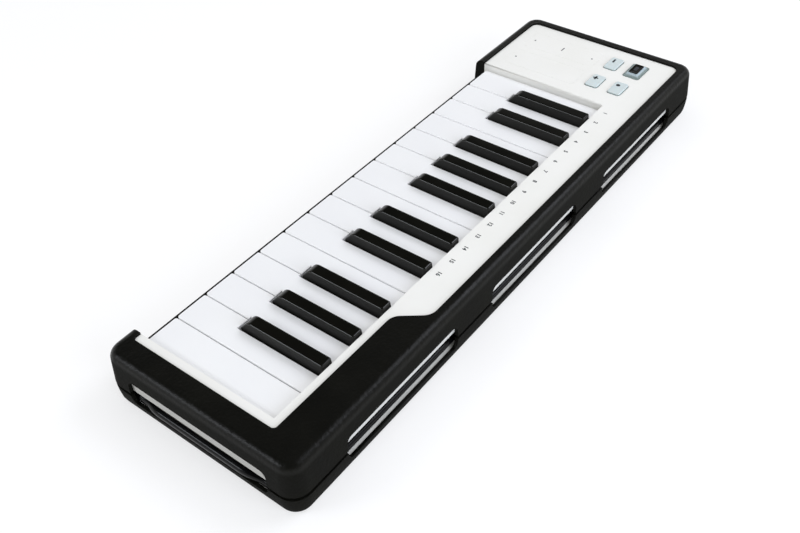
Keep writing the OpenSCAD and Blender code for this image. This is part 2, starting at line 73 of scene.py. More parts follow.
MM = 0.001
X, Y, Z = 0, 1, 2
WHITE_KEYS = [f"white_key_{i:02d}" for i in range(1, 16)]
BLACK_KEYS = [f"black_key_{i:02d}" for i in range(1, 11)]
BODY_OF = {node: body for body, nodes in frame["record"]["behaviour"]["bodies"].items() for node in nodes}
SLOT_OF = {part["node"]: part["material_slot"] for part in frame["record"]["subparts"]}


def box_mm(node):
    """A CAD node's lowest and highest corners in millimetres."""
    return [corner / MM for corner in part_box(node)]


# Places taken from the frame
half_w, half_d = cad_box[1].xy / MM
rim_top = box_mm("upper_sleeve")[1].z
panel_top = box_mm("top_case")[1].z
key_front = box_mm("white_key_02")[0].y
key_top = box_mm("white_key_02")[1].z
key_pitch = box_mm("white_key_03")[0].x - box_mm("white_key_02")[0].x
key_left = (box_mm("white_key_01")[1].x + box_mm("white_key_02")[0].x) / 2 - key_pitch
black_front = box_mm("black_key_01")[0].y
black_top = box_mm("black_key_01")[1].z


# Colours and material nodes

# Most of a noise's values lie in this span
NOISE_SPAN = {"From Min": 0.3, "From Max": 0.7}
CLOUD_DETAIL = 3.0
GRAIN_DETAIL = 2.0
# The upward part of the normal at which a face still counts as an upright wall, and from which it is a top
WALL_TILT, TOP_TILT = 0.05, 0.5
# A mix node has sockets for each kind of value, and these are the places of the ones used here
MIX_SHARE = 0
NUMBER_A, NUMBER_B, NUMBER_OUT = 2, 3, 0
COLOUR_A, COLOUR_B, COLOUR_OUT = 6, 7, 2


def linear(hex_colour):
    """An sRGB hex value as linear red, green, blue and alpha."""
    parts = [int(hex_colour[i:i + 2], 16) / 255 for i in (1, 3, 5)]
    return [c / 12.92 if c <= 0.04045 else ((c + 0.055) / 1.055) ** 2.4 for c in parts] + [1]


def add_node(tree, kind, inputs=None, **settings):
    """Adds a node with its settings; an input takes a value, or a link from another node's output."""
    node = tree.nodes.new(kind)
    for name, value in settings.items():
        setattr(node, name, value)
    for name, value in (inputs or {}).items():
        if isinstance(value, bpy.types.NodeSocket):
            tree.links.new(value, node.inputs[name])
        else:
            node.inputs[name].default_value = value
    return node


def per_metre(size_mm):
    """A noise scale that gives a pattern of this size."""
    return 1 / (size_mm * MM)


def moulded(name, shade, tint, cloud_mm, grain_mm, relief_mm, gloss, upright=None, foot_shade=None, **sockets):
    """A moulded surface: two close shades in soft clouds, and a fine grain in relief.

    The roughness wanders between the two values of gloss. Where the upright walls have a coarser grain,
    upright is their roughness. Where a part is given painted shade towards its foot, foot_shade gives the
    two heights in millimetres that the painted shade runs between, and the shaded colour at the foot.
    """
    material = bpy.data.materials.new(name)
    material.use_nodes = True
    tree = material.node_tree
    tree.nodes.clear()
    place = add_node(tree, "ShaderNodeTexCoord").outputs["Object"]
    clouds = add_node(tree, "ShaderNodeTexNoise",
                      {"Vector": place, "Scale": per_metre(cloud_mm),
                       "Detail": CLOUD_DETAIL}).outputs["Fac"]
    grain = add_node(tree, "ShaderNodeTexNoise",
                     {"Vector": place, "Scale": per_metre(grain_mm),
                      "Detail": GRAIN_DETAIL}).outputs["Fac"]
    blend = add_node(tree, "ShaderNodeMapRange", {"Value": clouds, **NOISE_SPAN}).outputs["Result"]
    colour = add_node(tree, "ShaderNodeMix",
                      {MIX_SHARE: blend, COLOUR_A: linear(shade), COLOUR_B: linear(tint)},
                      data_type="RGBA").outputs[COLOUR_OUT]
    # Painted shade: the colour darkens towards the foot of the part, between the two heights
    if foot_shade:
        foot, top, foot_shade_colour = foot_shade
        height = add_node(tree, "ShaderNodeSeparateXYZ", {"Vector": place}).outputs["Z"]
        rise = add_node(tree, "ShaderNodeMapRange",
                        {"Value": height, "From Min": foot * MM, "From Max": top * MM}).outputs["Result"]
        colour = add_node(tree, "ShaderNodeMix",
                          {MIX_SHARE: rise, COLOUR_A: linear(foot_shade_colour), COLOUR_B: colour},
                          data_type="RGBA").outputs[COLOUR_OUT]
    least, most = gloss
    rough = add_node(tree, "ShaderNodeMapRange",
                     {"Value": clouds, **NOISE_SPAN, "To Min": least, "To Max": most}).outputs["Result"]
    if upright:
        normal = add_node(tree, "ShaderNodeNewGeometry").outputs["Normal"]
        tilt = add_node(tree, "ShaderNodeSeparateXYZ", {"Vector": normal}).outputs["Z"]
        rough = add_node(tree, "ShaderNodeMapRange",
                         {"Value": tilt, "From Min": WALL_TILT, "From Max": TOP_TILT,
                          "To Min": upright, "To Max": rough}).outputs["Result"]
    relief = add_node(tree, "ShaderNodeBump",
                      {"Height": grain, "Distance": relief_mm * MM, "Strength": 1.0}).outputs["Normal"]
    shader = add_node(tree, "ShaderNodeBsdfPrincipled",
                      {"Base Color": colour, "Roughness": rough, "Normal": relief, **sockets})
    add_node(tree, "ShaderNodeOutputMaterial", {"Surface": shader.outputs["BSDF"]})
    return material


# Thermoplastic rubber from a spark-eroded mould: nearly black and dull, with a soft sheen on round edges.
# Its 0.2 mm grain is drawn 1.8 mm wide so that it shows. The upright walls have the coarser grain.
SLEEVE = moulded("moulded_black_rubber", "#0b0b08", "#0f0f0a", cloud_mm=22, grain_mm=1.8, relief_mm=0.2,
                 gloss=(0.34, 0.42), upright=0.95, IOR=1.3)
# White ABS from a finely etched mould: warm white with no gloss. The etch is drawn 0.5 mm wide to show.
CASE = moulded("etched_white_abs", "#f0efea", "#ecebe5", cloud_mm=30, grain_mm=0.5, relief_mm=0.006,
               gloss=(0.5, 0.6), IOR=1.5)
# White ABS from a polished mould: clean white, with a smooth shine that fingers have dulled in places.
KEY_WHITE = moulded("polished_white_abs", "#f5f5f4", "#f1f1f1", cloud_mm=40, grain_mm=6, relief_mm=0.004,
                    gloss=(0.16, 0.26), IOR=1.5)
# Black ABS from a satin mould: a deep black with a thin shine along the edges, and dull sides.
KEY_BLACK = moulded("satin_black_abs", "#0c0c09", "#10100c", cloud_mm=15, grain_mm=0.5, relief_mm=0.001,
                    gloss=(0.1, 0.15), upright=0.7, IOR=1.45)
# Dark ABS of the key bed, plain from the mould.
CHASSIS = moulded("plain_dark_abs", "#3a3b3e", "#33343a", cloud_mm=25, grain_mm=0.8, relief_mm=0.01,
                  gloss=(0.5, 0.6))
# Drawn steel with a bright zinc skin, crystals about half a millimetre across.
STEEL = moulded("zinced_steel", "#b9bcc0", "#a9adb3", cloud_mm=4, grain_mm=0.5, relief_mm=0.004,
                gloss=(0.25, 0.4), Metallic=1.0)
# Pressed wool felt: matted fibres that catch no shine.
FELT = moulded("pressed_wool_felt", "#7a2f35", "#692329", cloud_mm=2, grain_mm=0.35, relief_mm=0.15,
               gloss=(0.9, 1.0))
# Glass-fibre board under green solder mask: the weave shows faintly under a smooth skin.
BOARD = moulded("solder_masked_board", "#2e5d3b", "#27523a", cloud_mm=9, grain_mm=1.1, relief_mm=0.01,
                gloss=(0.3, 0.4))
# Grey silicone of the contact mats, dull from the mould.
SILICONE = moulded("grey_silicone", "#8d9296", "#858b90", cloud_mm=12, grain_mm=0.6, relief_mm=0.008,
                   gloss=(0.5, 0.6))
# Pale silicone of the buttons: light goes a millimetre or so in, and painted shade makes each button darker
# towards its foot than at its top.
LIGHT_DEPTH = {"Subsurface Radius": [0.8, 1.0, 1.1], "Subsurface Scale": MM}
BUTTON = moulded("pale_silicone", "#d2dcdb", "#cbd6d6", cloud_mm=10, grain_mm=0.6, relief_mm=0.006,
                 gloss=(0.4, 0.5), foot_shade=(panel_top + 0.2, panel_top + 0.8, "#8d9c9c"),
                 **{"Subsurface Weight": 0.25}, **LIGHT_DEPTH)
# The same silicone with more grey pigment, and painted shade that darkens it towards its foot.
BUTTON_GREY = moulded("grey_blue_silicone", "#b4c2c7", "#a9b8be", cloud_mm=10, grain_mm=0.6,
                      relief_mm=0.006, gloss=(0.4, 0.5),
                      foot_shade=(panel_top + 0.6, panel_top + 1.4, "#7f8d8a"),
                      **{"Subsurface Weight": 0.2}, **LIGHT_DEPTH)
# Polyester film of the flat cables: smooth and slightly yellow.
RIBBON = moulded("polyester_film", "#d8d4c8", "#cfcabc", cloud_mm=8, grain_mm=1.0, relief_mm=0.004,
                 gloss=(0.25, 0.35))
# Epoxy of the chip's body: dull black with a fine mould grain.
EPOXY = moulded("moulded_epoxy", "#202124", "#26272a", cloud_mm=3, grain_mm=0.3, relief_mm=0.006,
                gloss=(0.5, 0.6))
# PVC jacket of the cable: smooth black with a long soft shine.
JACKET = moulded("smooth_black_pvc", "#070708", "#0b0b0c", cloud_mm=12, grain_mm=1.2, relief_mm=0.003,
                 gloss=(0.18, 0.26), IOR=1.3)
# Natural nylon of the cable's header: waxy and cream.
NYLON = moulded("natural_nylon", "#e4e0d4", "#dbd6c8", cloud_mm=5, grain_mm=0.6, relief_mm=0.006,
                gloss=(0.4, 0.5))
# Pad-printed ink: a dull dark grey with thin places.
INK = moulded("pad_printed_ink", "#2b2e32", "#373b40", cloud_mm=1, grain_mm=0.3, relief_mm=0.002,
              gloss=(0.6, 0.7))

FINISH = {"sleeve_rubber": SLEEVE, "case_plastic": CASE, "key_white_plastic": KEY_WHITE,
          "key_black_plastic": KEY_BLACK, "chassis_plastic": CHASSIS, "steel": STEEL, "felt": FELT,
          "circuit_board": BOARD, "silicone": SILICONE, "ribbon_film": RIBBON, "chip_resin": EPOXY,
          "cable_jacket": JACKET, "header_plastic": NYLON, "button_silicone": BUTTON,
          "shift_silicone": BUTTON_GREY, "print_ink": INK}

for node, part in frame["nodes"].items():
    part.data.materials.clear()
    part.data.materials.append(FINISH[SLOT_OF[node]])


# Pieces

# Turns in degrees: edges from the first are sharp, and faces within the second are one flat
SHARP_TURN = 35
FLAT_TURN = 0.5
# Points closer than the first are one point, and places within the second are the same
WELD = 0.002
SAME = 0.01
# The part of a normal, and of an edge's direction, from which it counts as lying along an axis
FACE_ALONG = 0.99
EDGE_ALONG = 0.9
# Shading normals follow the large faces most of all
BY_AREA = 100
ROUND_SEGMENTS = 24


def make_piece(name, mesh, material, body, slot):
    """Turns a bmesh into a piece that rides on a body, with smooth turns and crisp flats."""
    data = bpy.data.meshes.new(name)
    mesh.to_mesh(data)
    mesh.free()
    data.materials.append(material)
    data.shade_smooth()
    data.set_sharp_from_angle(angle=math.radians(SHARP_TURN))
    piece = bpy.data.objects.new(name, data)
    bpy.context.scene.collection.objects.link(piece)
    even = piece.modifiers.new("even_flats", "WEIGHTED_NORMAL")
    even.keep_sharp = True
    even.weight = BY_AREA
    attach(piece, body)
    return piece


def stand_in(node, mesh, name):
    """The piece that shows in place of a CAD node, in the node's finish and on the node's body."""
    slot = SLOT_OF[node]
    piece = make_piece(name, mesh, FINISH[slot], BODY_OF[node], slot)
    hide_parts(node)
    return piece


def merged_copy(node):
    """A copy of a CAD node's mesh with its triangles joined into flat faces."""
    mesh = bmesh.new()
    mesh.from_mesh(frame["nodes"][node].data)
    bmesh.ops.remove_doubles(mesh, verts=mesh.verts, dist=WELD * MM)
    bmesh.ops.dissolve_limit(mesh, angle_limit=math.radians(FLAT_TURN), verts=mesh.verts, edges=mesh.edges)
    return mesh


def same(place, other):
    """Whether two places in millimetres are the same."""
    return abs(place - other) < SAME


def sharp_edges(mesh, test, least=SHARP_TURN):
    """The outward edges with a sharp turn whose two ends, in millimetres, pass a test."""
    found = []
    for edge in mesh.edges:
        if len(edge.link_faces) == 2 and edge.calc_face_angle_signed() > math.radians(least):
            if all(test(vertex.co / MM) for vertex in edge.verts):
                found.append(edge)
    return found


def along(edges, axis):
    """Those of the edges that run along an axis."""
    return [edge for edge in edges
            if abs((edge.verts[1].co - edge.verts[0].co).normalized()[axis]) > EDGE_ALONG]


def points_of(geometry):
    """The vertices among the things that an operator made."""
    return [item for item in geometry if isinstance(item, bmesh.types.BMVert)]


def round_edges(mesh, edges, radius_mm, segments=3):
    """Rounds edges with a radius."""
    bmesh.ops.bevel(mesh, geom=edges, offset=radius_mm * MM, offset_type="OFFSET", affect="EDGES",
                    segments=segments, profile=0.5, material=-1, clamp_overlap=True)


def add_bar(mesh, centre, size):
    """A closed block in millimetres, added to a mesh."""
    place = Matrix.Translation(Vector(centre) * MM) @ Matrix.Diagonal(Vector(size) * MM).to_4x4()
    bmesh.ops.create_cube(mesh, size=1, matrix=place)


def add_dot(mesh, centre, radius, height):
    """A closed disc in millimetres, added to a mesh."""
    bmesh.ops.create_cone(mesh, cap_ends=True, segments=ROUND_SEGMENTS, radius1=radius * MM,
                          radius2=radius * MM, depth=height * MM,
                          matrix=Matrix.Translation(Vector(centre) * MM))


# White keys: hollow mouldings with round front corners and softened tops
KEY_CORNER_R = 1.3
KEY_TOP_R = 0.5
for node in WHITE_KEYS:
    mesh = merged_copy(node)
    front_corners = along(sharp_edges(mesh, lambda p: same(p.y, key_front)), Z)
    round_edges(mesh, front_corners, KEY_CORNER_R, segments=4)
    round_edges(mesh, sharp_edges(mesh, lambda p: same(p.z, key_top)), KEY_TOP_R)
    stand_in(node, mesh, node + "_moulding")

# Black keys: a full shoulder over the front slope, round back corners, and a round along the whole top
SHOULDER_R = 2.5
BACK_CORNER_R = 1.2
BLACK_EDGE_R = 0.9
# The shoulder and the edges of the front slope turn by less than a sharp edge, in degrees
SHOULDER_TURN = 20
SLOPE_TURN = 25
# The back corners lie behind this, and the rounded part of a key starts a little below the white keys' tops
BLACK_BACK = 30
shown_from = key_top - 0.2
slope_from = key_top - 1
for node in BLACK_KEYS:
    mesh = merged_copy(node)
    top = sharp_edges(mesh, lambda p: same(p.z, black_top), SHOULDER_TURN)
    shoulder = min(along(top, X), key=lambda edge: edge.verts[0].co.y)
    round_edges(mesh, [shoulder], SHOULDER_R, segments=6)
    back_corners = along(sharp_edges(mesh, lambda p: p.y > BLACK_BACK and p.z > shown_from), Z)
    round_edges(mesh, back_corners, BACK_CORNER_R, segments=4)
    outline = sharp_edges(mesh, lambda p: p.z > shown_from or p.y < black_front + SAME, SLOPE_TURN)
    rim = [edge for edge in outline if max(vertex.co.z for vertex in edge.verts) > slope_from * MM]
    round_edges(mesh, rim, BLACK_EDGE_R, segments=4)
    stand_in(node, mesh, node + "_moulding")

# Case: the wall beside the lowest key turns in with a full round, the other panel edges are softened
WALL_R = 1.1
PANEL_EDGE_R = 0.35
# The wall stands this far to the left of the lowest key, to within the second value
WELL_GAP = 0.6
WALL_NEAR = 0.05
well_left = box_mm("white_key_01")[0].x - WELL_GAP
mesh = merged_copy("top_case")
panel_edges = sharp_edges(mesh, lambda p: same(p.z, panel_top))
wall_edges = [edge for edge in along(panel_edges, Y)
              if all(abs(vertex.co.x / MM - well_left) < WALL_NEAR for vertex in edge.verts)]
round_edges(mesh, wall_edges, WALL_R, segments=5)
round_edges(mesh, sharp_edges(mesh, lambda p: same(p.z, panel_top)), PANEL_EDGE_R)
stand_in("top_case", mesh, "panel_and_upper_case")

# Soft parts inside and the plug: every edge eased
EASED_R = {"upstop_felt": 0.4, "downstop_felt": 0.4, "cable_grommet": 0.3, "plug_body": 0.9}
for node, radius in EASED_R.items():
    mesh = merged_copy(node)
    round_edges(mesh, sharp_edges(mesh, lambda p: True), radius)
    stand_in(node, mesh, node + "_eased")

# Sleeve halves: every cut edge on the outside is soft, above the foot ring
SLEEVE_EDGE_R = 0.6
# How deep the outer skin is, how far the flat of the rim reaches down, and how high the foot ring is
OUTER_SKIN = 2
RIM_BAND = 0.1
FOOT_RING = 2


def on_outside(p):
    """Whether a point in millimetres lies in the sleeve's outer skin."""
    return abs(p.x) > half_w - OUTER_SKIN or abs(p.y) > half_d - OUTER_SKIN


mesh = merged_copy("upper_sleeve")
round_edges(mesh, sharp_edges(mesh, lambda p: on_outside(p) or p.z > rim_top - RIM_BAND), SLEEVE_EDGE_R)
stand_in("upper_sleeve", mesh, "upper_rubber_sleeve")
mesh = merged_copy("lower_sleeve")
round_edges(mesh, sharp_edges(mesh, lambda p: on_outside(p) and p.z > FOOT_RING), SLEEVE_EDGE_R)
stand_in("lower_sleeve", mesh, "lower_rubber_sleeve")

# Cable, drawn round its loop as one tube. In the right-hand window it swings out through an S at each end
CABLE_R = 2.1
CABLE_BEND_R = 9
# The swing starts this far from the middle of the window, and each S is this long
SWING_START = 43
SWING_LENGTH = 16
DEGREES_A_STEP = 9


def cable_tube():
    """The cable from its header, once round the groove, to its parked plug."""
    low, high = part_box("usb_cable")
    header_low, header_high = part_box("cable_header")
    plug_low, plug_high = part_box("plug_body")
    radius = CABLE_R * MM
    bend = CABLE_BEND_R * MM
    swing_start = SWING_START * MM
    swing_length = SWING_LENGTH * MM
    up = Vector((0, 0, 1))
    out = Vector((high.x + low.x, 0, high.z - low.z - 2 * radius))
    swing_turn = math.degrees(2 * math.atan2(out.length, swing_length))
    swing_r = swing_length / 2 / math.sin(math.radians(swing_turn))
    swing_axis = Vector((-out.z, 0, out.x)).normalized()
    half_loop_x = -low.x - radius
    half_loop_y = high.y - radius
    plug_x = (plug_low.x + plug_high.x) / 2
    place = Vector((header_low.x, (header_low.y + header_high.y) / 2, low.z + radius))
    heading = Vector((-1, 0, 0))
    # Each step is a straight run, then a turn in degrees to the left with a radius about an axis
    corner = (-90, bend, up)
    swing_left = (swing_turn, swing_r, swing_axis)
    swing_right = (-swing_turn, swing_r, swing_axis)
    no_turn = (0, bend, up)
    beside_swing = half_loop_y - bend - swing_start
    steps = [(place.x + half_loop_x - bend, *corner),
             (half_loop_y - place.y - 2 * bend, *corner),
             (2 * (half_loop_x - bend), *corner),
             (beside_swing, *swing_left),
             (0, *swing_right),
             (2 * (swing_start - swing_length), *swing_right),
             (0, *swing_left),
             (beside_swing, *corner),
             (half_loop_x - plug_x - 2 * bend, *corner),
             (plug_low.y + half_loop_y - bend, *no_turn)]
    mesh = bmesh.new()
    bmesh.ops.create_circle(mesh, cap_ends=True, radius=radius, segments=ROUND_SEGMENTS,
                            matrix=Matrix.Translation(place) @ Matrix.Rotation(math.radians(90), 4, "Y"))
    ring = mesh.edges[:]
    for run, turn, turn_r, axis in steps:
        if run:
            drawn = bmesh.ops.extrude_edge_only(mesh, edges=ring)["geom"]
            bmesh.ops.translate(mesh, verts=points_of(drawn), vec=heading * run)
            ring = [edge for edge in mesh.edges if edge.is_boundary]
            place = place + heading * run
        if turn:
            middle = place + axis.cross(heading) * math.copysign(turn_r, turn)
            spun = bmesh.ops.spin(mesh, geom=ring, cent=middle, axis=axis, angle=math.radians(turn),
                                  steps=math.ceil(abs(turn) / DEGREES_A_STEP))
            ring = [item for item in spun["geom_last"] if isinstance(item, bmesh.types.BMEdge)]
            turned = Matrix.Rotation(math.radians(turn), 3, axis)
            place = middle + turned @ (place - middle)
            heading = turned @ heading
    bmesh.ops.edgeloop_fill(mesh, edges=ring)
    bmesh.ops.recalc_face_normals(mesh, faces=mesh.faces)
    return mesh


stand_in("usb_cable", cable_tube(), "cable_tube")

# Buttons with eased tops, each with its printed mark
BUTTON_TOP_R = 0.5
INK_DEEP = 0.06
MARK_SHIFT = Vector((-2.7, -1.3, 0))
BUTTON_DOT_R = 1.4
# The width and depth of each bar in a button's mark. The button with no bar has a dot
MARK_BARS = {"octave_down_button": [(4.4, 1.3)],
             "octave_up_button": [(4.2, 1.2), (1.2, 3.6)],
             "hold_button": []}
for node, bars in MARK_BARS.items():
    low, high = box_mm(node)
    mesh = merged_copy(node)
    round_edges(mesh, sharp_edges(mesh, lambda p: same(p.z, high.z)), BUTTON_TOP_R, segments=4)
    stand_in(node, mesh, node + "_eased")
    centre = Vector(((low.x + high.x) / 2, (low.y + high.y) / 2, high.z)) + MARK_SHIFT
    mark = bmesh.new()
    for width, depth in bars:
        add_bar(mark, centre, (width, depth, INK_DEEP))
    if not bars:
        add_dot(mark, centre, BUTTON_DOT_R, INK_DEEP)
    make_piece(node + "_mark", mark, INK, BODY_OF[node], "print_ink")

# The tall button, and its dished cap with a mark in the dish
TALL_EDGE_R = 0.3
TALL_TURN = 30
CAP_RIM = 1.3
CAP_DISH = 0.2
CAP_EDGE_R = 0.25
CAP_MARK = (4.6, 2.4, INK_DEEP)
mesh = merged_copy("shift_button")
round_edges(mesh, sharp_edges(mesh, lambda p: p.z > panel_top, TALL_TURN), TALL_EDGE_R)
stand_in("shift_button", mesh, "shift_button_eased")
low, high = box_mm("shift_cap")
mesh = merged_copy("shift_cap")
face = max(mesh.faces, key=lambda item: item.calc_center_median().z)
bmesh.ops.inset_region(mesh, faces=[face], thickness=CAP_RIM * MM, depth=-CAP_DISH * MM,
                       use_even_offset=True)
round_edges(mesh, sharp_edges(mesh, lambda p: same(p.z, high.z)), CAP_EDGE_R)
stand_in("shift_cap", mesh, "shift_cap_dished")
mark = bmesh.new()
add_bar(mark, ((low.x + high.x) / 2, (low.y + high.y) / 2, high.z - CAP_DISH), CAP_MARK)
make_piece("shift_cap_mark", mark, INK, BODY_OF["shift_cap"], "print_ink")

# Silicone mats under the keys and the buttons
MAT_EDGE_R = 0.2


def soft_mat(node, joints, flare, rounding_mm):
    """A mat whose base stays in place, with a post under each part, named after that part's joint.

    The joints go from left to right, and from front to back where two posts stand behind each other.
    A post's foot is flare times as wide as its top.
    """
    low, high = box_mm(node)
    solid = merged_copy(node)
    base_top = sorted({round(vertex.co.z / MM, 2) for vertex in solid.verts})[1]
    base = bmesh.new()
    base_high = Vector((high.x, high.y, base_top))
    add_bar(base, (low + base_high) / 2, base_high - low)
    round_edges(base, base.edges[:], MAT_EDGE_R)
    stand_in(node, base, node + "_base")
    lids = [face for face in solid.faces
            if face.normal.z > FACE_ALONG and face.calc_center_median().z > (high.z - SAME) * MM]
    lids.sort(key=lambda face: [round(c, 4) for c in face.calc_center_median()])
    for lid, joint in zip(lids, joints, strict=True):
        centre = lid.calc_center_median()
        post = bmesh.new()
        top = post.faces.new([post.verts.new(vertex.co) for vertex in lid.verts])
        foot = points_of(bmesh.ops.extrude_face_region(post, geom=[top])["geom"])
        bmesh.ops.translate(post, verts=foot, vec=(0, 0, (base_top - high.z) * MM))
        bmesh.ops.scale(post, verts=foot, vec=(flare, flare, 1), space=Matrix.Translation(-centre))
        bmesh.ops.recalc_face_normals(post, faces=post.faces)
        round_edges(post, sharp_edges(post, lambda p: p.z > high.z - SAME), rounding_mm)
        piece = make_piece(f"{node}_post_{joint}", post, SILICONE, BODY_OF[node], SLOT_OF[node])
        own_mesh(piece)
    solid.free()


# An octave's twelve notes: the white ones, and how the two groups of levers share its seven white keys
NOTES = 12
WHITE_NOTES = (0, 2, 4, 5, 7, 9, 11)
LOW_GROUP, LOW_WHITES = 5, 3
HIGH_GROUP, HIGH_WHITES = 7, 4

DOME_FOOT_R, DOME_TOP_R = 3.4, 2.4
whites, blacks = iter(WHITE_KEYS), iter(BLACK_KEYS)
keys_in_order = [next(whites if note % NOTES in WHITE_NOTES else blacks)
                 for note in range(len(WHITE_KEYS) + len(BLACK_KEYS))]
buttons_in_order = ("octave_down_button", "shift_button", "octave_up_button", "hold_button")
soft_mat("contact_strip", [key + "_hinge" for key in keys_in_order],
         flare=DOME_FOOT_R / DOME_TOP_R, rounding_mm=0.5)
soft_mat("button_mat", [button + "_press" for button in buttons_in_order],
         flare=1, rounding_mm=0.3)

# Numbers on the strip behind the keys, one for each of the first sixteen notes
NUMBERS = 16
NUMBER_HEIGHT = 2.4
NUMBER_ROW = 40.2
# A figure's height as a share of the font's size, and how much bolder its outline is drawn
FIGURE_SHARE = 0.69
BOLDER = 0.045


def note_x(note):
    """The middle of a note's lever: C to E share three white keys evenly, F to B share four."""
    octave, step = divmod(note, NOTES)
    if step < LOW_GROUP:
        share = (step + 0.5) * LOW_WHITES / LOW_GROUP
    else:
        share = LOW_WHITES + (step - LOW_GROUP + 0.5) * HIGH_WHITES / HIGH_GROUP
    return key_left + key_pitch * ((LOW_WHITES + HIGH_WHITES) * octave + share)


def text_mesh(words, height_mm, centre):
    """Bold flat figures of a given height as closed solids, in place."""
    curve = bpy.data.curves.new("figures", "FONT")
    curve.body = words
    curve.size = height_mm / FIGURE_SHARE * MM
    curve.offset = BOLDER * height_mm * MM
    curve.extrude = INK_DEEP / 2 * MM
    curve.align_x = "CENTER"
    curve.align_y = "CENTER"
    curve.resolution_u = 4
    holder = bpy.data.objects.new("figures", curve)
    data = bpy.data.meshes.new_from_object(holder)
    bpy.data.objects.remove(holder)
    bpy.data.curves.remove(curve)
    data.transform(Matrix.Translation(Vector(centre) * MM))
    return data


mesh = bmesh.new()
for note in range(NUMBERS):
    figures = text_mesh(str(note + 1), NUMBER_HEIGHT, (note_x(note), NUMBER_ROW, panel_top))
    mesh.from_mesh(figures)
    bpy.data.meshes.remove(figures)
bmesh.ops.remove_doubles(mesh, verts=mesh.verts, dist=WELD * MM)
bmesh.ops.recalc_face_normals(mesh, faces=mesh.faces)
make_piece("note_numbers", mesh, INK, "body", "print_ink")

# Marks on the touch strips: a dot at each end of the left one and a bar at its middle, and a dot at the
# front end of the right one
LEFT_STRIP_X, RIGHT_STRIP_X = -173.2, -147.6
STRIP_FRONT, STRIP_MIDDLE, STRIP_BACK = -43.6, -21.4, 1.3
STRIP_DOT_R = 0.6
STRIP_BAR = (4.5, 0.7, INK_DEEP)
mesh = bmesh.new()
for x, y in ((LEFT_STRIP_X, STRIP_FRONT), (LEFT_STRIP_X, STRIP_BACK), (RIGHT_STRIP_X, STRIP_FRONT)):
    add_dot(mesh, (x, y, panel_top), STRIP_DOT_R, INK_DEEP)
add_bar(mesh, (LEFT_STRIP_X, STRIP_MIDDLE, panel_top), STRIP_BAR)
make_piece("touch_marks", mesh, INK, "body", "print_ink")

# Case screws with a cross recess, seen from below
HEAD_R = 2.4
HEAD_HIGH = 1.4
HEAD_EDGE_R = 0.5
SHANK_R = 1.2
# The cross's half width, the reach of its arms and its depth
CROSS_ARM, CROSS_REACH, CROSS_DEEP = 0.4, 1.5, 0.8


def cross_head_screw(length):
    """A pan-head screw in millimetres that points up, with the middle of its head's face at the origin."""
    mesh = bmesh.new()
    bmesh.ops.create_grid(mesh, x_segments=3, y_segments=3, size=CROSS_REACH)
    for vertex in mesh.verts:
        for axis in (X, Y):
            reach = CROSS_REACH if abs(vertex.co[axis]) > CROSS_REACH / 2 else CROSS_ARM
            vertex.co[axis] = math.copysign(reach, vertex.co[axis])
    corners = [face for face in mesh.faces
               if min(abs(c) for c in face.calc_center_median().xy) > CROSS_ARM]
    bmesh.ops.delete(mesh, geom=corners, context="FACES")
    recess = mesh.faces[:]
    outline = [edge for edge in mesh.edges if edge.is_boundary]
    bmesh.ops.create_circle(mesh, segments=ROUND_SEGMENTS, radius=HEAD_R)
    rim = [edge for edge in mesh.edges if not edge.link_faces]
    bmesh.ops.bridge_loops(mesh, edges=outline + rim)
    sunk = bmesh.ops.extrude_face_region(mesh, geom=recess)["geom"]
    bmesh.ops.translate(mesh, verts=points_of(sunk), vec=(0, 0, CROSS_DEEP))
    bmesh.ops.delete(mesh, geom=recess, context="FACES")
    loop = rim
    for rise, radius in ((HEAD_HIGH, HEAD_R), (0, SHANK_R), (length - HEAD_HIGH, SHANK_R)):
        ring = points_of(bmesh.ops.extrude_edge_only(mesh, edges=loop)["geom"])
        bmesh.ops.translate(mesh, verts=ring, vec=(0, 0, rise))
        for vertex in ring:
            vertex.co.xy = vertex.co.xy.normalized() * radius
        loop = [edge for edge in mesh.edges if edge.is_boundary]
    bmesh.ops.edgeloop_fill(mesh, edges=loop)
    bmesh.ops.recalc_face_normals(mesh, faces=mesh.faces)
    bmesh.ops.bevel(mesh, geom=rim, offset=HEAD_EDGE_R, affect="EDGES", segments=3, profile=0.5,
                    material=-1)
    return mesh


low, high = box_mm("case_screws")
solid = merged_copy("case_screws")
heads = [face.calc_center_median() for face in solid.faces
         if face.normal.z < -FACE_ALONG and face.calc_center_median().z < (low.z + SAME) * MM]
solid.free()
screw = cross_head_screw(high.z - low.z)
screw.transform(Matrix.Scale(MM, 4))
pattern = bpy.data.meshes.new("pattern")
screw.to_mesh(pattern)
screw.free()
mesh = bmesh.new()
for head in heads:
    pattern.transform(Matrix.Translation(head))
    mesh.from_mesh(pattern)
    pattern.transform(Matrix.Translation(-head))
bpy.data.meshes.remove(pattern)
stand_in("case_screws", mesh, "cross_head_case_screws")


# Floor, light and camera, with places and sizes in metres

FLOOR_REACH = 4
FLOOR_GLOW = 0.56
# The soft light grows between these heights on the sky, from the first strength to the second
FADE_LOW, FADE_HIGH = -0.15, 0.15
LIGHT_BELOW, LIGHT_ABOVE = 0.04, 0.6
# Reflections see a white backdrop up to the first height, and a dim ceiling from the second
BACKDROP_TOP, CEILING_FROM = 0.1, 0.6
BACKDROP_WHITE, CEILING_DIM = 1.0, 0.02


